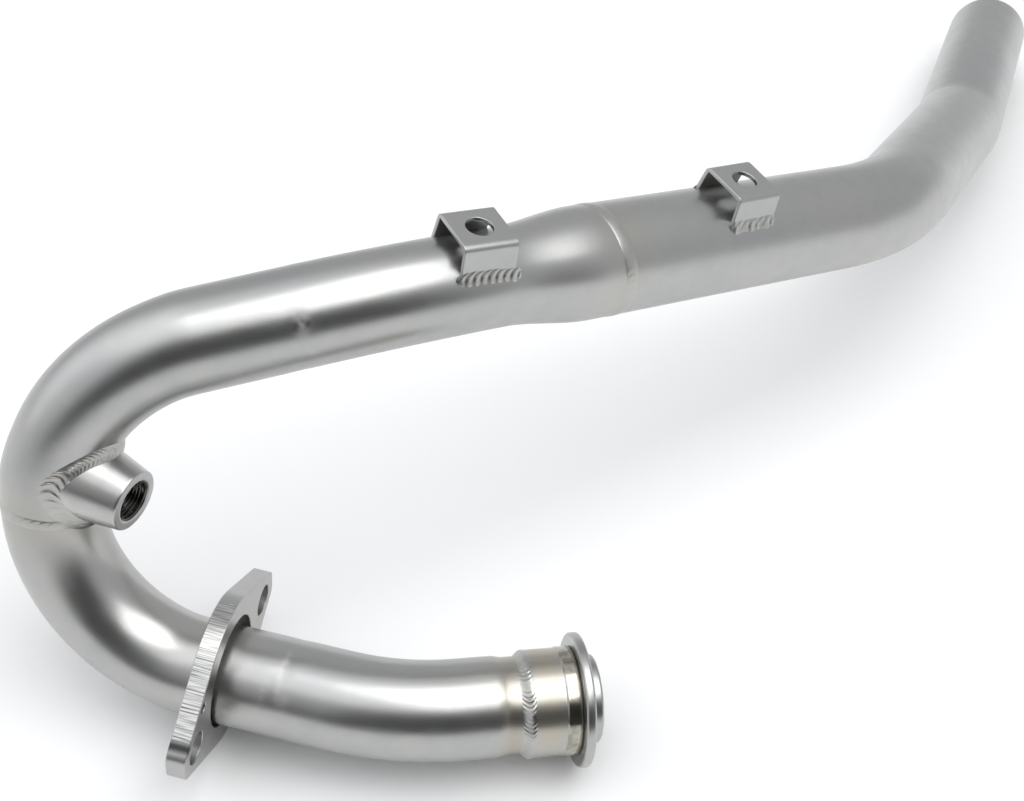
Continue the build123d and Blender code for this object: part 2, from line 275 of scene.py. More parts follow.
def sheet_mesh(name, points, uv=None, closed_rows=True, closed_columns=True, flip=False, trough=None):
    """Quads over a grid of points in millimetres, joined round in either direction.

    Quad (i, j) takes the points (i, j), (i, j+1), (i+1, j+1) and (i+1, j)."""
    rows, columns = points.shape[:2]
    i = np.arange(rows if closed_rows else rows - 1)
    j = np.arange(columns if closed_columns else columns - 1)
    a, b = np.meshgrid(i, j, indexing="ij")
    a1, b1 = a + 1, b + 1
    corner_rows = np.stack([a, a, a1, a1], axis=-1).reshape(-1, 4)
    corner_columns = np.stack([b, b1, b1, b], axis=-1).reshape(-1, 4)
    if flip:
        corner_rows, corner_columns = corner_rows[:, ::-1], corner_columns[:, ::-1]
    index = (corner_rows % rows) * columns + corner_columns % columns
    mesh = bpy.data.meshes.new(name)
    mesh.vertices.add(rows * columns)
    mesh.vertices.foreach_set("co", (points * MM).astype(np.float32).ravel())
    mesh.loops.add(index.size)
    mesh.loops.foreach_set("vertex_index", index.astype(np.int32).ravel())
    mesh.polygons.add(len(index))
    mesh.polygons.foreach_set("loop_start", np.arange(0, index.size, 4, dtype=np.int32))
    mesh.polygons.foreach_set("use_smooth", np.ones(len(index), bool))
    if uv is not None:
        whole = np.concatenate([uv, uv[:1]], axis=0)
        last = whole[:, -1:] + (whole[:, 1:2] - whole[:, :1])
        whole = np.concatenate([whole, last], axis=1)
        layer = mesh.uv_layers.new(name=ALONG_UV)
        layer.data.foreach_set("uv", (whole[corner_rows, corner_columns] * MM).astype(np.float32).ravel())
    # The trough attribute carries a bead's painted shade, from 0 to 1.
    if trough is not None:
        layer = mesh.attributes.new(TROUGH, "FLOAT", "POINT")
        layer.data.foreach_set("value", trough.astype(np.float32).ravel())
    mesh.update(calc_edges=True)
    mesh.validate()
    return mesh


def placed(name, data):
    """An object for a mesh, curve, lamp or camera, linked to the scene."""
    obj = bpy.data.objects.new(name, data)
    bpy.context.scene.collection.objects.link(obj)
    return obj


def piece(mesh, body, material, replaced):
    """An object at the origin for a finished mesh, riding a body and standing for its CAD node."""
    obj = placed(mesh.name, mesh)
    mesh.materials.append(material)
    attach(obj, body)
    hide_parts(replaced)
    return obj


def finished_mesh(obj):
    """The mesh that an object's modifiers or curve settings give; the object itself goes."""
    bpy.context.view_layer.update()
    graph = bpy.context.evaluated_depsgraph_get()
    mesh = bpy.data.meshes.new_from_object(obj.evaluated_get(graph), depsgraph=graph)
    bpy.data.objects.remove(obj)
    return mesh


def places_of(mesh):
    """The mesh's points as an array of rows."""
    places = np.empty(len(mesh.vertices) * 3, np.float32)
    mesh.vertices.foreach_get("co", places)
    return places.reshape(-1, 3).astype(float)


def bored(mesh, origin, direction, radius, length):
    """The mesh less a round bar from the origin along the direction."""
    ring = full_turn(96)
    direction = unit(direction)
    side = unit(np.cross(direction, (0.0, 0.0, 1.0)))
    up = np.cross(direction, side)
    disc = side * np.cos(ring)[:, None] + up * np.sin(ring)[:, None]
    reach = np.array([0.0, 0.0, length, length])
    wide = np.array([0.0, radius, radius, 0.0])
    points = np.asarray(origin) + direction * reach[:, None, None] + disc * wide[:, None, None]
    cutter = placed("cutter", sheet_mesh("cutter", points, closed_rows=False))
    target = placed("target", mesh)
    weld = cutter.modifiers.new("weld", "WELD")
    weld.merge_threshold = 1e-6
    drill = target.modifiers.new("drill", "BOOLEAN")
    drill.operation = "DIFFERENCE"
    drill.solver = "EXACT"
    drill.object = cutter
    clean = finished_mesh(target)
    bpy.data.objects.remove(cutter)
    name = mesh.name
    bpy.data.meshes.remove(mesh)
    clean.name = name
    return clean


# Materials

class Value:
    """A number in a material. Arithmetic on it adds Math nodes to the material."""

    def __init__(self, tree, socket):
        self.tree, self.socket = tree, socket

    def math(self, operation, *others, clamp=False):
        """One Math node on this value and the others."""
        node = self.tree.nodes.new("ShaderNodeMath")
        node.operation = operation
        node.use_clamp = clamp
        for socket, value in zip(node.inputs, (self, *others)):
            if isinstance(value, Value):
                self.tree.links.new(value.socket, socket)
            else:
                socket.default_value = float(value)
        return Value(self.tree, node.outputs[0])

    def reflected(self, operation, other):
        """One Math node with a plain number before this value."""
        node = self.tree.nodes.new("ShaderNodeMath")
        node.operation = operation
        node.inputs[0].default_value = float(other)
        self.tree.links.new(self.socket, node.inputs[1])
        return Value(self.tree, node.outputs[0])

    def __add__(self, other):
        return self.math("ADD", other)

    def __sub__(self, other):
        return self.math("SUBTRACT", other)

    def __mul__(self, other):
        return self.math("MULTIPLY", other)

    def __truediv__(self, other):
        return self.math("DIVIDE", other)

    def __pow__(self, other):
        return self.math("POWER", other)

    def __radd__(self, other):
        return self.reflected("ADD", other)

    def __rsub__(self, other):
        return self.reflected("SUBTRACT", other)

    def __rmul__(self, other):
        return self.reflected("MULTIPLY", other)

    def clipped(self):
        """The value held between 0 and 1."""
        return self.math("ADD", 0.0, clamp=True)

    def step(self, low, high):
        """0 below low, 1 above high, eased between them."""
        node = self.tree.nodes.new("ShaderNodeMapRange")
        node.interpolation_type = "SMOOTHSTEP"
        node.inputs["From Min"].default_value = low
        node.inputs["From Max"].default_value = high
        self.tree.links.new(self.socket, node.inputs["Value"])
        return Value(self.tree, node.outputs["Result"])

    def hump(self, centre, width):
        """Bell of this value about a centre: e to the minus squared distance over width."""
        off = (self - centre) / width
        return (0 - off * off).math("EXPONENT")


class Nodes:
    """A tree of nodes, with one method that adds any node to it."""

    def __init__(self, tree):
        self.tree = tree

    def node(self, kind, settings=None, inputs=None):
        """Adds a node: its settings first, then the values or links of its sockets."""
        node = self.tree.nodes.new(kind)
        for key, value in (settings or {}).items():
            setattr(node, key, value)
        for key, value in (inputs or {}).items():
            if isinstance(value, Value):
                self.tree.links.new(value.socket, node.inputs[key])
            elif isinstance(value, bpy.types.NodeSocket):
                self.tree.links.new(value, node.inputs[key])
            else:
                node.inputs[key].default_value = value
        return node

    def vector(self, operation, *inputs):
        """A Vector Math node on the given vectors."""
        return self.node("ShaderNodeVectorMath", {"operation": operation}, dict(enumerate(inputs)))

    def dot(self, first, second):
        """Scalar product of two vectors."""
        return Value(self.tree, self.vector("DOT_PRODUCT", first, second).outputs["Value"])

    def point(self, x, y=0.0):
        """A place from its first two coordinates."""
        return self.node("ShaderNodeCombineXYZ", {}, {"X": x, "Y": y}).outputs[0]


class Finish(Nodes):
    """The finish of a surface: one Principled shader and the nodes that vary it."""

    def __init__(self, name, colour, roughness, metallic=1.0):
        self.material = bpy.data.materials.new(name)
        self.material.use_nodes = True
        super().__init__(self.material.node_tree)
        self.shader = self.tree.nodes["Principled BSDF"]
        self.shader.inputs["Metallic"].default_value = metallic
        self.colour, self.roughness = colour, roughness
        self.place = self.node("ShaderNodeTexCoord").outputs["Object"]
        self.relief = None

    def noise(self, size, detail=2.0, rough=0.5, place=None, stretch=None):
        """Noise whose blobs are about a size in millimetres, from 0 to 1."""
        where = place or self.place
        if stretch is not None:
            where = self.vector("MULTIPLY", where, stretch).outputs[0]
        out = self.node("ShaderNodeTexNoise", {},
                        {"Vector": where, "Scale": 1.0 / (size * MM), "Detail": detail, "Roughness": rough})
        return Value(self.tree, out.outputs["Fac"])

    def along(self):
        """Station along the header and distance around its skin, in millimetres."""
        uv = self.node("ShaderNodeUVMap", {"uv_map": ALONG_UV}).outputs["UV"]
        parts = self.node("ShaderNodeSeparateXYZ", {}, {"Vector": uv})
        return Value(self.tree, parts.outputs["X"]) / MM, Value(self.tree, parts.outputs["Y"]) / MM

    def reach(self, direction, origin=(0.0, 0.0, 0.0)):
        """Distance in millimetres from an origin along a direction, at each point."""
        return self.dot(self.off(origin), [float(x) for x in unit(direction)]) / MM

    def off(self, origin):
        """Each point less an origin given in millimetres."""
        return self.vector("SUBTRACT", self.place, [float(x) * MM for x in origin]).outputs[0]

    def mix(self, mask, first, second):
        """The first colour where the mask is 0, the second where it is 1."""
        node = self.node("ShaderNodeMix", {"data_type": "RGBA"}, {0: mask})
        for index, colour in ((6, first), (7, second)):
            if isinstance(colour, bpy.types.NodeSocket):
                self.tree.links.new(colour, node.inputs[index])
            else:
                node.inputs[index].default_value = (*colour, 1.0)
        return node.outputs[2]

    def bump(self, height, depth, strength=1.0):
        """Relief: height from 0 to 1 stands for a depth in millimetres, over what is there already."""
        inputs = {"Height": height, "Strength": strength, "Distance": depth * MM}
        if self.relief is not None:
            inputs["Normal"] = self.relief
        self.relief = self.node("ShaderNodeBump", {}, inputs).outputs["Normal"]

    def done(self, colour=None, roughness=None):
        """The finished material; what isn't given keeps the finish's plain value."""
        for key, value in (("Base Color", colour), ("Roughness", roughness), ("Normal", self.relief)):
            if value is None:
                continue
            socket = value.socket if isinstance(value, Value) else value
            self.tree.links.new(socket, self.shader.inputs[key])
        if colour is None:
            self.shader.inputs["Base Color"].default_value = (*self.colour, 1.0)
        if roughness is None:
            self.shader.inputs["Roughness"].default_value = self.roughness
        return self.material


BLASTED = (0.45, 0.45, 0.433)
COOLER = (0.42, 0.428, 0.424)
STRAW = (0.47, 0.425, 0.335)
BROWNED = (0.33, 0.285, 0.225)
BARE = (0.52, 0.51, 0.49)
# Painted shade for the collar's groove.
GROOVE_SHADE = (0.10, 0.095, 0.085)
# Pale patches: partly real scuffs, partly painted highlight.
PALE = (0.62, 0.62, 0.60)
# Painted shade for the troughs between a bead's ripples.
TROUGH_SHADE = (0.10, 0.10, 0.095)
BAND = (0.44, 0.425, 0.365)
BAND_SMEAR = (0.13, 0.12, 0.09)
# Painted highlight and painted shade for the flange's mill marks.
MILL_RIDGE_HIGHLIGHT = (0.66, 0.66, 0.65)
MILL_CUT_SHADE = (0.13, 0.13, 0.13)
# Painted shade for a corner of the flange's side wall.
CORNER_SHADE = (0.04, 0.04, 0.04)
# Painted shade for the inside of the boss's threaded hole.
HOLE_SHADE = (0.06, 0.057, 0.05)
# Share of its own length to which a coordinate is drawn in, so that a noise turns into long strokes.
DRAWN_OUT = 0.02


def blasted(finish, grain=1.0):
    """Bead-blasted skin: fine pits, a slow mottle in tone and gloss. Returns colour and roughness."""
    fine = finish.noise(0.28, detail=2.0, rough=0.6)
    mottle = finish.noise(9.0, detail=4.0, rough=0.55)
    slow = finish.noise(55.0, detail=2.0)
    finish.bump(fine, 0.012 * grain)
    finish.bump(mottle, 0.007 * grain)
    colour = finish.mix((slow * 0.5 + mottle * 0.5).step(0.35, 0.65), finish.colour, COOLER)
    roughness = finish.roughness + (mottle - 0.5) * 0.10 + (slow - 0.5) * 0.06
    return colour, roughness


def tube_finish(name, heats, scuffs_and_highlights):
    """Blasted tube whose skin is tinted where it was heated: a straw ring, browned within it.

    A scuff is a paler, duller patch, partly real handling wear and partly a painted highlight where the
    bright band dips: a bell of the station times one of the way around, torn by noise."""
    finish = Finish(name, BLASTED, 0.305)
    colour, roughness = blasted(finish)
    station, around = finish.along()
    wander = (finish.noise(14.0, detail=3.0) - 0.5) * 5.0
    for heat_station, width, strength in heats:
        bell = (station + wander).hump(heat_station, width)
        colour = finish.mix((bell * strength).clipped(), colour, STRAW)
        colour = finish.mix((bell * bell * bell * (strength * 0.5)).clipped(), colour, BROWNED)
    torn = finish.noise(3.0, detail=3.0, rough=0.5).step(0.25, 0.70)
    for patch_station, width, patch_angle, spread, strength in scuffs_and_highlights:
        patch = (station + wander * 0.3).hump(patch_station, width)
        patch = (patch * around.hump(patch_angle * HEAD_R, spread) * torn * strength).clipped()
        # Each patch made paler: partly a real scuff, partly a painted highlight.
        colour = finish.mix(patch, colour, PALE)
        roughness = roughness + patch * 0.25
    return finish.done(colour, roughness)


def weld_finish(name, tone=BARE, roughness=0.30, tint=0.35, depth=0.8):
    """Rippled bead: painted shade in the troughs between its coins, a straw tint in patches, fine oxide
    grain.
    """
    finish = Finish(name, tone, roughness)
    grain = finish.noise(0.35, detail=3.0)
    patch = finish.noise(4.0, detail=3.0)
    finish.bump(grain, 0.02)
    colour = finish.mix((patch.step(0.45, 0.75) * tint), finish.colour, STRAW)
    # Painted shade in the ripples' troughs, read from the mesh's trough attribute.
    low = Value(finish.tree, finish.node("ShaderNodeAttribute", {"attribute_name": TROUGH}).outputs["Fac"])
    colour = finish.mix((low * depth).clipped(), colour, TROUGH_SHADE)
    colour = finish.mix(grain.step(0.62, 0.85) * 0.35, colour, BROWNED)
    return finish.done(colour, finish.roughness + (patch - 0.5) * 0.25)


def collar_finish():
    """Turned collar: a satin sleeve tinted straw by the weld, a bright band with dark smears,
    a groove painted dark as shade, and a satin rim and spigot, told apart by the station along the collar."""
    finish = Finish("turned_collar", BLASTED, 0.30)
    colour, roughness = blasted(finish, grain=0.7)
    station, around = finish.along()
    outward = COLLAR_MOUTH - station
    groove = RIM_BACK - GROOVE_WIDTH
    on_band = outward.step(SLEEVE_LENGTH - 0.3, SLEEVE_LENGTH + 0.5) * (
        1 - outward.step(groove - 0.3, groove + 0.1))
    # Painted shade: the groove is coloured near black where shade falls in it.
    in_groove = outward.step(groove - 0.05, groove + 0.1) * (
        1 - outward.step(RIM_BACK - 0.12, RIM_BACK - 0.04))
    wander = (finish.noise(9.0, detail=3.0) - 0.5) * 5.0
    lower = 1 - finish.reach((0.0, 0.0, 1.0), (0.0, 0.0, PORT_CORNER[2])).step(-6.0, 12.0)
    warm = (outward + wander).hump(7.0, 8.0) * (1 - lower * 0.85)
    colour = finish.mix((warm * 0.7).clipped(), colour, STRAW)
    torn = finish.noise(1.8, detail=4.0, rough=0.7).step(0.50, 0.58) * lower
    torn = torn * outward.step(SLEEVE_LENGTH + 1.5, RIM_BACK)
    smear = finish.noise(5.0, detail=3.0, rough=0.5).step(0.42, 0.66) * 0.45
    lathe = finish.noise(0.22, detail=1.0, place=finish.point(station * MM, around * (MM * DRAWN_OUT)))
    colour = finish.mix(on_band, colour, BAND)
    colour = finish.mix(on_band * (smear + torn).clipped(), colour, BAND_SMEAR)
    # The groove painted dark as shade.
    colour = finish.mix(in_groove, colour, GROOVE_SHADE)
    finish.bump(lathe, 0.02)
    roughness = roughness * (1 - on_band) + on_band * (0.11 + smear * 0.12 + torn * 0.2)
    return finish.done(colour, roughness)


def flange_finish():
    """Flange plate: satin faces; on the round part of its edge, mill marks across the thickness, with a
    painted highlight on their ridges and painted shade in their deep cuts.
    """
    finish = Finish("satin_flange", BLASTED, 0.36)
    colour, roughness = blasted(finish, grain=0.8)
    long_way = finish.reach(FLANGE_LONG, FLANGE_POINT)
    through = finish.reach(FLANGE_FACE, FLANGE_POINT)
    up_way = finish.reach(np.cross(unit(FLANGE_FACE), unit(FLANGE_LONG)), FLANGE_POINT)
    off_centre = (long_way * long_way + up_way * up_way).math("SQRT")
    from_stud = ((long_way - STUD_SPACING / 2) * (long_way - STUD_SPACING / 2) + up_way * up_way).math("SQRT")
    ragged = (finish.noise(2.2, detail=2.0) - 0.5) * 7.0
    edge = (1 - through.math("ABSOLUTE").step(FLANGE_THICKNESS / 2 - 0.5, FLANGE_THICKNESS / 2 - 0.25)) * (
        off_centre.step(29.0, 30.0) * from_stud.step(7.4, 7.9) * (up_way * -1).step(-1.0, 1.0)) * (
        (long_way + ragged).step(-9.0, -6.5) * (1 - (long_way + ragged * 0.4).step(45.5, 47.5)))
    strokes = finish.point(long_way * MM, through * (MM * DRAWN_OUT))
    marks = finish.noise(0.62, detail=2.0, rough=0.6, place=strokes)
    broad = finish.noise(2.6, detail=1.0, place=strokes)
    finish.bump(marks * edge, 0.07)
    # Painted highlight on the mill marks' ridges.
    colour = finish.mix(edge * marks.step(0.48, 0.56), colour, MILL_RIDGE_HIGHLIGHT)
    # Painted shade in the mill marks' deep cuts.
    deep_cut_shade = 1 - marks.step(0.38, 0.46)
    colour = finish.mix(edge * deep_cut_shade * broad.step(0.35, 0.6), colour, MILL_CUT_SHADE)
    # Painted shade: a corner of the flange's side wall, near its end, coloured near black.
    side_wall = (up_way * -1).step(6.0, 7.0)
    colour = finish.mix(side_wall * long_way.hump(48.0, 2.0).math("MINIMUM", 0.95), colour, CORNER_SHADE)
    roughness = roughness + edge * (broad - 0.5) * 0.2 - edge * 0.04
    return finish.done(colour, roughness)


def bracket_finish():
    """Folded strip: satin, with a faint rolling grain along the strip."""
    finish = Finish("satin_strip", BLASTED, 0.34)
    colour, roughness = blasted(finish, grain=0.8)
    grain = finish.noise(0.5, detail=2.0, stretch=(0.15, 1.0, 1.0))
    finish.bump(grain, 0.008)
    return finish.done(colour, roughness + (grain - 0.5) * 0.06)


def boss_finish():
    """Turned boss: satin cone with faint tool rings, and its threaded hole painted darker as shade."""
    finish = Finish("turned_boss", BARE, 0.30)
    colour, roughness = blasted(finish, grain=0.6)
    centre, _, _, _ = ROUTE.at(np.array([BOSS_AT]))
    axial = finish.reach(BOSS_DIR, centre[0])
    far = Value(finish.tree, finish.vector("LENGTH", finish.off(centre[0])).outputs["Value"]) / MM
    from_axis = (far * far - axial * axial).math("MAXIMUM", 0.0).math("SQRT")
    rings = finish.noise(0.4, detail=1.0, place=finish.point(axial * MM))
    finish.bump(rings, 0.012)
    in_hole = 1 - from_axis.step(BOSS_THREAD_R + 0.75, BOSS_THREAD_R + 0.95)
    # Painted shade: the thread inside the hole coloured near black.
    colour = finish.mix(in_hole * 0.93, colour, HOLE_SHADE)
    return finish.done(colour, roughness - in_hole * 0.08)


# Pieces

def nominal_radius(stations):
    """Outer radius of the tubes: drawn in at the collar, widened by the expanded end."""
    neck_end = COLLAR_MOUTH + NECK_OUT
    drawn_in = (HEAD_R - NECK_R) * (1 - smooth(stations, neck_end, neck_end + NECK_BLEND))
    start = RUN_CORNER_STATION + SWAGE_START
    return HEAD_R - drawn_in + (TAIL_R - HEAD_R) * smooth(stations, start, start + SWAGE_LENGTH)


# How far each bend is flattened, as a share of the radius, and the length over which that comes in.
BEND_SQUASH = (0.012, 0.035, 0.035, 0.010, 0.015, 0.0)
BEND_EASE = 18.0
# Shallow marks of the bending tool: station, half width, depth, and the side they are deepest on.
PRESS_MARKS = (
    (170.0, 3.6, 0.20, 4.4), (165.5, 1.0, -0.08, 4.4),
    (456.5, 4.2, 0.12, 3.8), (463.0, 2.4, -0.06, 3.8),
)


def skin_radius(stations, angles):
    """Nominal radius less each bend's squash and each press mark.

    A bend takes off its share times the squared cosine of the angle between the outward direction
    and the bend's plane, eased in over the bend's ends. A mark takes off its depth times a bell of
    the station, from a fifth on its far side to all of it on its own."""
    _, outward = ROUTE.skin(stations, angles, np.zeros(np.broadcast(stations, angles).shape))
    inward = ROUTE.at(stations)[3]
    in_plane = (outward * inward).sum(-1) ** 2
    share = np.zeros(np.shape(stations))
    for squash, start, end in zip(BEND_SQUASH, ROUTE.bend_from, ROUTE.bend_to):
        ease = min(BEND_EASE, (end - start) / 2)
        within = smooth(stations, start, start + ease) * (1 - smooth(stations, end - ease, end))
        share = share + squash * within
    pressed = sum(
        depth * np.exp(-((stations - centre) / width) ** 2) * (0.6 + 0.4 * np.cos(angles - side))
        for centre, width, depth, side in PRESS_MARKS)
    return nominal_radius(stations) * (1 - share * in_plane) - pressed


def edge_cut(station, direction):
    """Stations at which the tube's generators meet a plane cut through it."""
    at_station = np.full(AROUND.shape, float(station))
    return ROUTE.cut(station, direction, AROUND, skin_radius(at_station, AROUND))


LIP = 0.4
LIP_TURNS = np.radians((22.5, 45.0, 67.5, 90.0))


def tube(name, start, end, lip_at_end=False, spacing=2.0):
    """A tube as one closed loop of rows: along its outside, round its end, back along its bore.

    The lip's rows lie at the end less the lip's radius times one minus the sine of the turn,
    set in from the skin by that radius times one minus the cosine."""
    rows = int(np.max(end - start) / spacing) + 1
    share = np.linspace(0, 1, rows)[:, None]
    stop = end - (LIP if lip_at_end else 0.0)
    outside = start + (stop - start) * share
    stations = [outside]
    insets = [np.zeros((rows, 1))]
    if lip_at_end:
        s, c = np.sin(LIP_TURNS)[:, None], np.cos(LIP_TURNS)[:, None]
        stations += [stop + LIP * s, (stop + LIP * s)[::-1]]
        insets += [LIP * (1 - c), WALL - (LIP * (1 - c))[::-1]]
    stations.append(outside[::-1])
    insets.append(np.full((rows, 1), WALL))
    stations, insets = np.concatenate(stations), np.concatenate(insets)
    angles = np.broadcast_to(AROUND, stations.shape)
    points, _ = ROUTE.skin(stations, angles, skin_radius(stations, angles) - insets)
    uv = np.stack([stations, angles * HEAD_R + insets * 0.5], axis=-1)
    return sheet_mesh(name, points, uv)


def outward_faces(mesh, corner_degrees=38.0):
    """Turns a closed mesh's faces outward if its signed volume is negative, and marks its sharp edges.

    Each triangle adds one sixth of p0 . (p1 x p2) to the volume."""
    mesh.calc_loop_triangles()
    corners = np.empty(len(mesh.loop_triangles) * 3, np.int32)
    mesh.loop_triangles.foreach_get("vertices", corners)
    tri = places_of(mesh)[corners].reshape(-1, 3, 3)
    if (tri[:, 0] * np.cross(tri[:, 1], tri[:, 2])).sum() < 0:
        mesh.flip_normals()
    mesh.set_sharp_from_angle(angle=math.radians(corner_degrees))
    return mesh


SEAM_GAP = 0.05
low_cut = edge_cut(LOW_SEAM, LOW_SEAM_DIR)
run_cut = edge_cut(RUN_SEAM_AT, RUN_SEAM_DIR)
boss_centre = ROUTE.at(np.array([BOSS_AT]))[0][0]

HEATS = ((COLLAR_MOUTH + 8.0, 7.0, 0.45), (LOW_SEAM, 13.0, 0.25), (RUN_SEAM_AT, 10.0, 0.15))
# Pale patches on the tubes, partly real scuffs and partly painted highlight: station, half width, angle,
# spread round the skin and strength.
SCUFFS_AND_HIGHLIGHTS = (
    (460.0, 3.6, 3.55, 7.0, 0.6), (461.0, 2.2, 4.1, 3.0, 0.5),
    (170.5, 1.5, 4.4, 9.0, 0.9), (176.0, 2.0, 4.0, 5.0, 0.5),
)
tube_metal = tube_finish("blasted_tube", HEATS, SCUFFS_AND_HIGHLIGHTS)
head_mesh = tube("head_pipe", np.full(AROUND.shape, COLLAR_MOUTH - SOCKET_DEPTH), low_cut - SEAM_GAP)
piece(outward_faces(head_mesh), "header", tube_metal, "head_tube")
bend_mesh = tube("bend_pipe", low_cut + SEAM_GAP, run_cut - SEAM_GAP)
bend_mesh = bored(outward_faces(bend_mesh), boss_centre, BOSS_DIR, BOSS_THREAD_R, BOSS_REACH)
piece(outward_faces(bend_mesh), "header", tube_metal, "bend_tube")
tail_end = np.full(AROUND.shape, ROUTE.length)
tail_mesh = tube("tail_pipe", run_cut + SEAM_GAP, tail_end, lip_at_end=True, spacing=2.4)
piece(outward_faces(tail_mesh), "header", tube_metal, "tail_tube")

# The collar: its outline in distance from the sleeve's mouth and radius, turned about the first straight.
collar_corners = [
    (0.0, NECK_R + 0.05), (0.0, SLEEVE_R), (SLEEVE_LENGTH, SLEEVE_R), (SLEEVE_LENGTH + 0.6, BAND_R),
    (RIM_BACK - GROOVE_WIDTH, BAND_R), (RIM_BACK - GROOVE_WIDTH, GROOVE_R), (RIM_BACK, GROOVE_R),
    (RIM_BACK, RIM_R), (RIM_FACE, RIM_R), (RIM_FACE, SPIGOT_R), (SPIGOT_END, SPIGOT_R),
    (SPIGOT_END, SPIGOT_BORE_R), (SOCKET_DEPTH, SPIGOT_BORE_R), (SOCKET_DEPTH, NECK_R + 0.05),
]
collar_radii = [0.0, 0.3, 0.3, 0.3, 0.35, 0.2, 0.2, RIM_EDGE, RIM_EDGE, 0.5, RIM_EDGE, 0.4, 0.0, 0.0]
collar_outline = divided(filleted(collar_corners, collar_radii), 1.6)
collar_stations = np.broadcast_to(COLLAR_MOUTH - collar_outline[:, :1], (len(collar_outline), len(AROUND)))
collar_angles = np.broadcast_to(AROUND, collar_stations.shape)
collar_wide = np.broadcast_to(collar_outline[:, 1:], collar_stations.shape)
collar_points, _ = ROUTE.skin(collar_stations, collar_angles, collar_wide)
collar_uv = np.stack([collar_stations, collar_angles * SLEEVE_R], axis=-1)
collar_mesh = sheet_mesh("turned_collar", collar_points, collar_uv)
piece(outward_faces(collar_mesh, 60.0), "header", collar_finish(), "port_collar")

# Beads
RING = full_turn(1120)
ACROSS = np.linspace(-1, 1, 17)


def ripples(distance, across, pitch, bow):
    """Overlapped coins: each rises in the first fifth of its pitch and falls away over the rest,
    bowed back by the squared distance from the bead's middle."""
    phase = (distance / pitch - bow * across ** 2) % 1.0
    return smooth(phase, 0.0, 0.2) * (1 - smooth(phase, 0.2, 1.05))


def ring_bead(name, stations, radii, base, height, ripple, pitch, bow, sway, seed, patches):
    """A bead round the pipe: rows across it, then a row back beneath.

    Its surface is the base radius plus, times (1 - v^2)^0.8, the height and the ripples about their
    mean, stronger in patches; a slow sway that fits a whole number of waves shifts its edges."""
    v = ACROSS[:, None]
    wave = sum(np.sin(k * RING + phase) / k for k, phase in ((3, seed), (7, 2 * seed), (11, 5 * seed)))
    turns = round(2 * math.pi * base.mean() / pitch)
    crest = ripples(RING * turns / (2 * math.pi) * pitch, v, pitch, bow)
    strong = 0.05 + sum(
        share * np.exp(-(turned_by(np.degrees(RING), at) / width) ** 2) for at, width, share in patches)
    crown = (1 - v ** 2) ** 0.8
    surface = base + crown * (height * (1 + 0.1 * wave) + ripple * strong * (crest - 0.5))
    middle = stations.mean(axis=0)
    outer_stations = middle + (stations - middle) * (1 + sway * wave) + sway * wave
    # Painted shade: how deep each point lies in a trough between the coins, for the material to darken.
    dark = strong * (1 - crest) ** 3 * crown
    dark = np.concatenate([dark, np.zeros((2, len(RING)))])
    under = np.stack([radii[1], radii[0]])
    all_stations = np.concatenate([outer_stations, outer_stations[-1:], outer_stations[:1]])
    all_radii = np.concatenate([surface, under])
    angles = np.broadcast_to(RING, all_stations.shape)
    points, _ = ROUTE.skin(all_stations, angles, all_radii)
    uv = np.stack([all_stations, angles * base.mean()], axis=-1)
    return outward_faces(sheet_mesh(name, points, uv, trough=dark), 70.0)


def turned_by(angles, start):
    """Smallest turn from a starting angle to each angle, all in degrees."""
    return (angles - start + 180) % 360 - 180


def seam_bead(name, station, direction, half_width, height, ripple, pitch, bow, sway, seed, patches):
    """Bead over a seam cut on a plane, running on the tubes' own skin."""
    radii = skin_radius(np.full(RING.shape, float(station)), RING)
    cut = ROUTE.cut(station, direction, RING, radii)
    stations = cut + half_width * ACROSS[:, None]
    base = skin_radius(stations, np.broadcast_to(RING, stations.shape)) - 0.04
    under = [radii - WALL + 0.1, radii - WALL + 0.1]
    return ring_bead(name, stations, under, base, height, ripple, pitch, bow, sway, seed, patches)


low_metal = weld_finish("dressed_bead", tone=BLASTED, roughness=0.34, tint=0.15, depth=0.12)
rippled_metal = weld_finish("rippled_bead", tone=BLASTED, roughness=0.31, tint=0.25)
LOW_PATCHES = ((60.0, 50.0, 0.7), (200.0, 40.0, 0.6), (310.0, 30.0, 0.8))
low_bead = seam_bead(
    "low_seam_bead", LOW_SEAM, LOW_SEAM_DIR, half_width=2.6, height=0.26, ripple=0.16,
    pitch=3.6, bow=0.8, sway=0.12, seed=1.3, patches=LOW_PATCHES)
piece(low_bead, "header", low_metal, "low_seam_weld")
RUN_PATCHES = ((215.0, 14.0, 0.5), (120.0, 30.0, 0.5), (30.0, 40.0, 0.4))
run_bead = seam_bead(
    "run_seam_bead", RUN_SEAM_AT, RUN_SEAM_DIR, half_width=3.3, height=0.34, ripple=0.14,
    pitch=3.4, bow=0.9, sway=0.08, seed=2.1, patches=RUN_PATCHES)
piece(run_bead, "header", low_metal, "run_seam_weld")

ramp = (ACROSS[:, None] + 1) / 2
collar_bead_stations = np.broadcast_to(COLLAR_MOUTH + 4.4 - 5.5 * ramp, (len(ACROSS), len(RING)))
collar_bead_base = NECK_R + (SLEEVE_R - NECK_R + 0.03) * smooth(ramp, 0.0, 0.8) + 0 * RING
collar_under = [np.full(len(RING), NECK_R - 0.4), np.full(len(RING), SLEEVE_R - 0.4)]
COLLAR_PATCHES = (
    (236.0, 9.0, 1.0), (268.0, 6.0, 0.35), (205.0, 9.0, 0.55), (150.0, 10.0, 0.7), (100.0, 16.0, 0.5),
    (40.0, 22.0, 0.7), (340.0, 14.0, 0.4),
)
collar_bead = ring_bead(
    "collar_bead", collar_bead_stations, collar_under, collar_bead_base, height=0.14, ripple=0.75,
    pitch=2.05, bow=1.1, sway=0.10, seed=0.7, patches=COLLAR_PATCHES)
piece(collar_bead, "header", rippled_metal, "collar_weld")


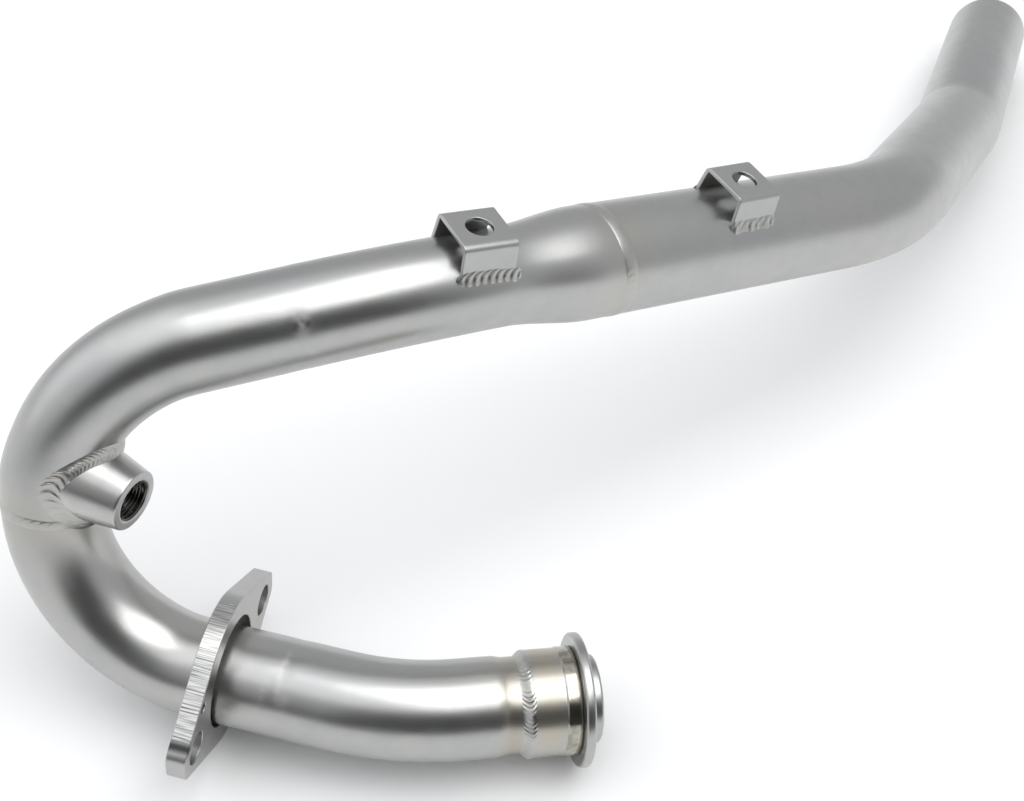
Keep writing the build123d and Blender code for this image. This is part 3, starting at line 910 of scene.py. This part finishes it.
def fillet_bead(corner, toe_a, toe_b, distance, bulge, ripple, fine, pitch, bow, slant, swell):
    """A bead in a corner between two surfaces, from one toe to the other.

    Its surface is the line between the toes, pushed away from the corner by 4w(1 - w) times the
    bulge, and by that factor's root times the ripples and fine ripples of half their pitch, each
    about its mean; swell scales the whole section about the corner."""
    w = np.linspace(0, 1, 15)[:, None, None]
    across = 2 * w[..., 0] - 1
    away = unit((toe_a + toe_b) / 2 - corner)
    slanted = distance[None, :] - slant * across
    crest = ripples(slanted, across, pitch, bow)
    coins = ripple * (crest - 0.5)
    coins = coins + fine * (ripples(slanted, across, pitch / 2, 2.3 * bow) - 0.5)
    crown = 4 * (w * (1 - w))[..., 0]
    lift = crown * bulge + crown ** 0.5 * coins
    surface = toe_a + (toe_b - toe_a) * w + away * lift[..., None]
    under = corner - away * 0.35
    whole = np.concatenate([surface, under[None]])
    whole = corner + (whole - corner) * swell[None, :, None]
    # Painted shade: how deep each point lies in a trough between the coins, for the material to darken.
    dark = np.minimum(ripple, 1) * (1 - crest) ** 3 * crown ** 0.5
    return whole, np.concatenate([dark, 0 * dark[:1]])


# The sensor boss, turned about its axis, with its foot and bead on the U-bend's skin.
boss_dir = unit(BOSS_DIR)
boss_side = unit(np.cross(boss_dir, (0.0, 0.0, 1.0)))
boss_up = np.cross(boss_dir, boss_side)
near_boss = ROUTE.table[np.abs(ROUTE.table[:, 0] - BOSS_AT) < 60]
BOSS_SLOPE = (BOSS_BASE_R - BOSS_FACE_R) / (BOSS_REACH - HEAD_R)


def about_boss(reach, angles, radii):
    """Point at a reach along the boss's axis and a radius from it, turned by the angle."""
    arm = boss_side * np.cos(angles)[..., None] + boss_up * np.sin(angles)[..., None]
    return boss_centre + boss_dir * np.asarray(reach)[..., None] + arm * np.asarray(radii)[..., None]


def nearest_skin(points, rows):
    """For each point: the nearest centreline point, the direction out from it, how far out the
    point is, and the tube's outer radius that way."""
    flat = points.reshape(-1, 3)
    off = flat[:, None, :] - rows[None, :, 1:4]
    far = np.linalg.norm(off, axis=-1)
    nearest = far.argmin(axis=1)
    row = rows[nearest]
    out = unit(off[np.arange(len(flat)), nearest])
    up = np.cross(row[:, 4:7], row[:, 7:10])
    angles = np.arctan2((out * up).sum(-1), (out * row[:, 7:10]).sum(-1))
    return row[:, 1:4], out, far.min(axis=1), skin_radius(row[:, 0], angles)


def over_skin(points, rows):
    """Height of points over a tube's skin."""
    _, _, far, radius = nearest_skin(points, rows)
    return (far - radius).reshape(points.shape[:-1])


def reach_of_skin(angles, radius_at, height):
    """Reach at which the boss's generator at each angle is a height over the tube's skin, by bisection."""
    low, high = np.full(angles.shape, 5.0), np.full(angles.shape, BOSS_REACH)
    for _ in range(18):
        middle = (low + high) / 2
        above = over_skin(about_boss(middle, angles, radius_at(middle)), near_boss) > height
        high, low = np.where(above, middle, high), np.where(above, low, middle)
    return (low + high) / 2


def cone_radius(reach):
    """Outer radius of the boss at a reach."""
    return BOSS_FACE_R + (BOSS_REACH - reach) * BOSS_SLOPE


def steady_radius(radius):
    """A radius that is the same at every reach."""
    return lambda reach: np.full(np.shape(reach), radius)


boss_angles = full_turn(192)
BOSS_SUNK = -0.6
foot = reach_of_skin(boss_angles, cone_radius, BOSS_SUNK)
inner_foot = reach_of_skin(boss_angles, steady_radius(BOSS_THREAD_R + THREAD_DEPTH), BOSS_SUNK)
BOSS_EDGE = 0.45
THREAD_RELIEF = 1.1
share = np.linspace(0, 1, 30)[:, None]
cone_reach = foot + (BOSS_REACH - BOSS_EDGE - foot) * share
turns = np.radians((30.0, 60.0, 90.0))[:, None]
edge_reach = BOSS_REACH - BOSS_EDGE * (1 - np.sin(turns)) + 0 * boss_angles
edge_radius = cone_radius(BOSS_REACH) - BOSS_EDGE * (1 - np.cos(turns)) + 0 * boss_angles
face_radius = np.linspace(BOSS_FACE_R - BOSS_EDGE - 0.4, BOSS_THREAD_R + THREAD_RELIEF, 5)
face_radius = face_radius[:, None] + 0 * boss_angles
face_reach = np.full(face_radius.shape, BOSS_REACH)
lead_in = np.array([0.3, 0.6, 0.9])[:, None]
lead_radius = BOSS_THREAD_R + THREAD_RELIEF - lead_in + 0 * boss_angles
lead_reach = BOSS_REACH - lead_in + 0 * boss_angles
thread_top = BOSS_REACH - 1.0
thread_share = np.linspace(0, 1, 110)[:, None]
thread_reach = thread_top - (thread_top - inner_foot - 0.3) * thread_share
helix = (thread_reach / THREAD_PITCH + boss_angles / (2 * math.pi)) % 1.0
flank = np.clip(np.abs(helix - 0.5) * 2 * 1.25 - 0.125, 0, 1)
fade = smooth(BOSS_REACH - thread_reach, 0.9, 2.4)
thread_radius = BOSS_THREAD_R + THREAD_DEPTH * (1 - flank) * fade
bottom_radius = np.linspace(BOSS_THREAD_R + 0.4, BOSS_BASE_R + 0.3, 6)[1:-1, None] + 0 * boss_angles
bottom_reach = np.stack([reach_of_skin(boss_angles, steady_radius(r[0]), BOSS_SUNK) for r in bottom_radius])
boss_reaches = np.concatenate([cone_reach, edge_reach, face_reach, lead_reach, thread_reach, bottom_reach])
boss_radii = np.concatenate([
    cone_radius(cone_reach), edge_radius, face_radius, lead_radius, thread_radius, bottom_radius])
boss_points = about_boss(boss_reaches, np.broadcast_to(boss_angles, boss_reaches.shape), boss_radii)
boss_mesh = outward_faces(sheet_mesh("threaded_boss", boss_points), 50.0)
piece(boss_mesh, "header", boss_finish(), "sensor_boss")

bead_angles = full_turn(900)
join = reach_of_skin(bead_angles, cone_radius, 0.0)
corner = about_boss(join, bead_angles, cone_radius(join))
arms = unit(about_boss(0 * bead_angles, bead_angles, 1 + 0 * bead_angles) - boss_centre)
LEFT_ARM, UPPER_ARM = (-0.925, -0.286, -0.247), (0.656, 0.148, 0.741)
left_side = smooth(arms @ unit(LEFT_ARM), 0.1, 0.9)
upper_side = smooth(arms @ unit(UPPER_ARM), 0.1, 0.8)
uneven = 1 + 0.06 * np.sin(3 * bead_angles + 0.4) + 0.04 * np.sin(7 * bead_angles + 1.9)
cone_toe_reach = join + (3.0 + 2.6 * left_side) * uneven
toe_on_cone = about_boss(cone_toe_reach, bead_angles, cone_radius(cone_toe_reach) - 0.05)
_, skin_out, _, _ = nearest_skin(corner, near_boss)
outward_step = unit(arms - skin_out * (arms * skin_out).sum(-1, keepdims=True))
stepped = corner + outward_step * ((3.4 + 1.0 * left_side + 2.2 * upper_side) * uneven)[:, None]
on_centreline, skin_out, _, radius_there = nearest_skin(stepped, near_boss)
toe_on_tube = on_centreline + skin_out * (radius_there - 0.05)[:, None]
steps = np.linalg.norm(np.roll(corner, -1, axis=0) - corner, axis=-1)
distance = np.concatenate([[0], np.cumsum(steps)[:-1]])
BOSS_RIPPLE = 3.4
whole_turns = round(steps.sum() / BOSS_RIPPLE)
IMAGE_RIGHT, IMAGE_DOWN = np.array((0.710, -0.704, 0.033)), np.array((-0.475, -0.513, -0.715))
bearing = np.degrees(np.arctan2(arms @ IMAGE_DOWN, arms @ IMAGE_RIGHT))
boss_ripple = 0.06 + 1.0 * np.exp(-(turned_by(bearing, 166) / 30) ** 4)
boss_fine = 0.10 + 0.24 * np.exp(-(turned_by(bearing, -105) / 40) ** 4)
boss_bead, boss_trough = fillet_bead(
    corner, toe_on_tube, toe_on_cone, distance * whole_turns * BOSS_RIPPLE / steps.sum(), bulge=0.25,
    ripple=boss_ripple, fine=boss_fine, pitch=BOSS_RIPPLE, bow=0.8, slant=0.0,
    swell=np.ones(len(bead_angles)))
boss_bead_mesh = outward_faces(sheet_mesh("boss_bead", boss_bead, trough=boss_trough), 80.0)
piece(boss_bead_mesh, "header", rippled_metal, "boss_weld")


# The two folded brackets and the beads along their feet.
def bracket(name, at_station, tube_r, along, up, metal, replaced):
    """A strip with a hole, drawn flat as rings from the hole to its edge, folded and set on the pipe.

    Across the strip the distance w stays flat up to the fold, turns about it by the distance past its
    start over its radius, and then runs straight down the leg. Depth is taken square to the sheet."""
    centre = ROUTE.at(np.array([at_station]))[0][0]
    along = unit(along)
    side = unit(np.cross(up, along))
    up = np.cross(along, side)
    foot_z = math.sqrt(tube_r ** 2 - BRACKET_FOOT_HALF ** 2)
    top_z = foot_z + BRACKET_LEG
    half = BRACKET_WIDTH / 2
    lean = math.atan2(BRACKET_FOOT_HALF - half, BRACKET_LEG)
    fold = math.pi / 2 - lean
    back_off = BRACKET_FOLD_R * math.tan(fold / 2)
    flat_half = half - back_off
    arc = BRACKET_FOLD_R * fold
    leg = BRACKET_LEG / math.cos(lean) - back_off + 2.6
    wide = flat_half + arc + leg
    long_half = BRACKET_LENGTH / 2
    rectangle = [(long_half, wide), (-long_half, wide), (-long_half, -wide), (long_half, -wide)]
    outline = divided(filleted(rectangle, 0.8), 0.9)
    tangent = unit(np.roll(outline, -1, axis=0) - np.roll(outline, 1, axis=0))
    inwards = np.stack([-tangent[:, 1], tangent[:, 0]], axis=-1)
    heading = np.arctan2(outline[:, 1], outline[:, 0])
    ray = np.stack([np.cos(heading), np.sin(heading)], axis=-1)
    edge = 0.35
    rings = np.linspace(0, 1, 44)[:, None, None]
    inner_ring, outer_ring = ray * (BRACKET_HOLE_R + edge), outline + inwards * edge
    sheet = inner_ring + (outer_ring - inner_ring) * rings
    turn = np.radians((30.0, 60.0, 90.0))[:, None, None]
    rim = outline + inwards * edge * (1 - np.sin(turn))
    hole = ray * (BRACKET_HOLE_R + edge * (1 - np.sin(turn)))
    rim_depth = edge * (1 - np.cos(turn))
    flat = np.concatenate([sheet, rim, rim[::-1], sheet[::-1], hole, hole[::-1]])
    ones = np.ones((1, 1, 1))
    depth = np.concatenate([
        0 * rings, rim_depth, BRACKET_SHEET - rim_depth[::-1], BRACKET_SHEET + 0 * rings,
        BRACKET_SHEET - rim_depth, rim_depth[::-1]])[..., 0] * ones[..., 0]
    a, w = flat[..., 0], flat[..., 1]
    sign, w = np.sign(w), np.abs(w)
    bend = np.clip((w - flat_half) / BRACKET_FOLD_R, 0, fold)
    past = np.maximum(w - flat_half - arc, 0)
    sheet_out = BRACKET_FOLD_R - depth
    x = np.minimum(w, flat_half) + sheet_out * np.sin(bend) + past * math.sin(lean)
    z = top_z - BRACKET_FOLD_R + sheet_out * np.cos(bend) - past * math.cos(lean)
    x = x * sign
    local = ROUTE.at(at_station + a)[0] - centre
    cx, cz = local @ side, local @ up
    sunk = tube_r - 0.6
    across = np.clip(np.abs(x - cx), 0, sunk - 0.1)
    floor_z = cz + np.sqrt(sunk ** 2 - across ** 2)
    z = np.maximum(z, floor_z)
    points = centre + along * a[..., None] + side * x[..., None] + up * z[..., None]
    mesh = outward_faces(sheet_mesh(name, points), 50.0)
    piece(mesh, "header", metal, replaced)
    return centre, along, side, up, lean


def foot_bead(name, at_station, tube_r, frame_of, sign, past, pitch, bulge, ripple, metal, replaced, seed):
    """A bead along one foot: the corner line runs where the leg's face meets the pipe, and the
    section shrinks to nothing at both ends by the square root of the distance left."""
    centre, along, side, up, lean = frame_of
    reach, leg = BRACKET_LENGTH / 2 + past, 2.7
    a = np.linspace(-reach, reach, 330)
    near, forward, _, _ = ROUTE.at(at_station + a)
    side_here = unit(side - forward * (forward @ side)[:, None])
    up_here = np.cross(forward, side_here)
    offset = (near - centre) @ side
    angle = np.arcsin((sign * BRACKET_FOOT_HALF - offset) / tube_r)
    toe_angle = angle + sign * (leg + 0.7) / tube_r

    def on_tube(turn, radius):
        """Points round the pipe by a turn from its top towards the side."""
        return near + (side_here * np.sin(turn)[:, None] + up_here * np.cos(turn)[:, None]) * radius

    corner = on_tube(angle, tube_r)
    swell = np.sqrt(np.clip((reach - np.abs(a)) / 2.4, 0.0004, 1))
    swell = np.minimum(swell, 1) * (1 + 0.06 * np.sin(a * 0.7 + seed) + 0.04 * np.sin(a * 1.9 + 2 * seed))
    toe_a = on_tube(toe_angle, tube_r - 0.03)
    rise = up * math.cos(lean) - side * (sign * math.sin(lean))
    toe_b = corner + rise * leg
    whole, dark = fillet_bead(corner, toe_a, toe_b, a + 100.0, bulge, ripple, 0.0, pitch, 0.55, 1.3, swell)
    # The troughs' painted shade, made a little stronger on the feet.
    loops, dark = np.swapaxes(whole, 0, 1), 1.6 * np.swapaxes(dark, 0, 1)
    ends = [np.broadcast_to(loops[k].mean(axis=0), (1,) + loops[k].shape) for k in (0, -1)]
    dark = np.concatenate([0 * dark[:1], dark, 0 * dark[:1]])
    mesh = sheet_mesh(name, np.concatenate([ends[0], loops, ends[1]]), closed_rows=False, trough=dark)
    merge_poles(mesh)
    piece(outward_faces(mesh, 80.0), "header", metal, replaced)


def merge_poles(mesh):
    """Joins points that lie on each other, such as the ring that closes each end."""
    work = bmesh.new()
    work.from_mesh(mesh)
    bmesh.ops.remove_doubles(work, verts=work.verts, dist=1e-6)
    bmesh.ops.dissolve_degenerate(work, edges=work.edges, dist=1e-7)
    work.to_mesh(mesh)
    work.free()


strip_metal = bracket_finish()
front = bracket("front_strip", FRONT_AT, HEAD_R, FRONT_ALONG, FRONT_UP, strip_metal, "front_bracket")
rear = bracket("rear_strip", REAR_AT, TAIL_R, REAR_ALONG, REAR_UP, strip_metal, "rear_bracket")
for end, at_station, tube_r, frame_of, far_past, pitch, bulge, ripple, metal, seeds in (
    ("front", FRONT_AT, HEAD_R, front, -1.2, 3.2, 0.05, 0.42, rippled_metal, (0.3, 1.1)),
    ("rear", REAR_AT, TAIL_R, rear, 1.0, 4.4, 0.08, 0.24, low_metal, (2.2, 3.1)),
):
    for which, sign, past, seed in (("near", -1, 1.6, seeds[0]), ("far", 1, far_past, seeds[1])):
        foot_bead(f"{end}_{which}_bead", at_station, tube_r, frame_of, sign, past, pitch, bulge, ripple,
                  metal, f"{end}_bracket_weld_{which}", seed)


# The loose flange: a filled outline with its holes, extruded and eased at its edges.
def ring_points(centre, radius, count=96):
    """Points evenly round a circle."""
    turn = full_turn(count)
    return np.stack([centre[0] + radius * np.cos(turn), centre[1] + radius * np.sin(turn)], axis=-1)


FLANGE_EASE = 0.45
ear = FLANGE_HALF - FLANGE_END_HALF
ear_square = np.array([(1, 1), (-1, 1), (-1, -1), (1, -1)]) * FLANGE_END_HALF
round_square = filleted(ear_square, FLANGE_CORNER_R, 9)
core = ring_points((0, 0), FLANGE_CORE_R, 240)
cloud = np.concatenate([core, round_square + (ear, 0), round_square - (ear, 0)])
hull = cloud[convex_hull_2d([tuple(p) for p in cloud])]
holes = [
    ring_points((0, 0), FLANGE_BORE_R, 160),
    ring_points((STUD_SPACING / 2, 0), STUD_HOLE_R), ring_points((-STUD_SPACING / 2, 0), STUD_HOLE_R),
    ring_points((SIDE_HOLE_X, -SIDE_HOLE_Y), SIDE_HOLE_R, 48),
    ring_points((-SIDE_HOLE_X, SIDE_HOLE_Y), SIDE_HOLE_R, 48),
]
curve = bpy.data.curves.new("flange_outline", "CURVE")
curve.dimensions = "2D"
curve.fill_mode = "BOTH"
curve.extrude = FLANGE_THICKNESS / 2 - FLANGE_EASE
curve.bevel_depth = FLANGE_EASE
curve.bevel_resolution = 3
curve.offset = -FLANGE_EASE
for outline in [hull] + holes:
    spline = curve.splines.new("POLY")
    spline.points.add(len(outline) - 1)
    flat = np.zeros((len(outline), 4))
    flat[:, :2] = outline
    flat[:, 3] = 1
    spline.points.foreach_set("co", flat.ravel())
    spline.use_cyclic_u = True
flange_mesh = finished_mesh(placed("flange_outline", curve))
flange_mesh.name = "loose_flange_plate"
flange_z = unit(FLANGE_FACE)
flange_x = unit(np.array(FLANGE_LONG) - flange_z * (np.array(FLANGE_LONG) @ flange_z))
flange_y = np.cross(flange_z, flange_x)
place = places_of(flange_mesh)
place = np.array(FLANGE_POINT) + place[:, :1] * flange_x + place[:, 1:2] * flange_y + place[:, 2:] * flange_z
flange_mesh.vertices.foreach_set("co", (place * MM).astype(np.float32).ravel())
merge_poles(flange_mesh)
flange_mesh.polygons.foreach_set("use_smooth", np.ones(len(flange_mesh.polygons), bool))
flange_mesh.update()
plate = piece(outward_faces(flange_mesh, 40.0), "flange", flange_finish(), "loose_flange")
even = plate.modifiers.new("even_shading", "WEIGHTED_NORMAL")
even.keep_sharp = True


# Floor, light, backdrop and camera

floor_size, floor_z = 4.0, -0.0006
floor_grid = np.array([[(-1, -1), (-1, 1)], [(1, -1), (1, 1)]]) * floor_size / MM
floor_points = np.concatenate([floor_grid, np.full((2, 2, 1), floor_z / MM)], axis=-1)
floor_mesh = sheet_mesh("floor", floor_points, closed_rows=False, closed_columns=False, flip=True)
floor = placed("floor", floor_mesh)
floor_finish = Finish("floor_paper", (0.91, 0.91, 0.91), 0.9, metallic=0.0)
floor_mesh.materials.append(floor_finish.done())

softbox = bpy.data.lights.new("softbox", "AREA")
softbox.shape = "RECTANGLE"
softbox.size = softbox.size_y = 1.25
softbox.energy = 11.5
lamp = placed("softbox", softbox)
LAMP_AWAY = 1.5
lamp_az, lamp_el = math.radians(-100.0), math.radians(75.0)
flat_reach = math.cos(lamp_el)
lamp_from = Vector((flat_reach * math.cos(lamp_az), flat_reach * math.sin(lamp_az), math.sin(lamp_el)))
lamp_turn = lamp_from.to_track_quat("Z", "Y").to_matrix().to_4x4()
lamp.matrix_world = Matrix.Translation(lamp_from * LAMP_AWAY) @ lamp_turn

CAMERA_SIDE = (-0.86, -0.52, 0.0)
WINDOW_SIDE = (-0.66, 0.46, 0.60)
world = bpy.data.worlds.new("studio")
bpy.context.scene.world = world
world.use_nodes = True
sky = world.node_tree
background = sky.nodes["Background"]
room = Nodes(sky)
direction = room.node("ShaderNodeTexCoord").outputs["Generated"]
parts = room.node("ShaderNodeSeparateXYZ", {}, {"Vector": direction})
height = Value(sky, parts.outputs["Z"])
camera_side = room.dot(direction, CAMERA_SIDE).step(0.1, 0.6)
ceiling = height.step(0.69, 0.83)
bright = room.dot(direction, WINDOW_SIDE).step(0.55, 0.97)
level = (1 - ceiling) * (0.63 - camera_side * 0.575) + ceiling * 0.92 + bright * 0.85
tint = room.node("ShaderNodeVectorMath", {"operation": "SCALE"}, {0: (0.985, 0.993, 1.015), "Scale": level})
sky.links.new(tint.outputs[0], background.inputs["Color"])
background.inputs["Strength"].default_value = 1.0

camera_data = bpy.data.cameras.new("camera")
camera_data.sensor_fit = "HORIZONTAL"
camera_data.sensor_width = 36.0
camera_data.lens = 52.71
camera_data.clip_start = 0.01
camera = placed("camera", camera_data)
right = Vector((0.7098, -0.7036, 0.0333))
down = Vector((-0.4753, -0.5133, -0.7146))
forward = Vector((0.5199, 0.4914, -0.6988))
camera_turn = Matrix((right, -down, -forward)).transposed().to_quaternion().to_matrix()
camera.matrix_world = Matrix.Translation(Vector((-530.44, -322.83, 566.29)) * MM) @ camera_turn.to_4x4()
bpy.context.scene.camera = camera
bpy.context.scene.view_settings.view_transform = "Standard"
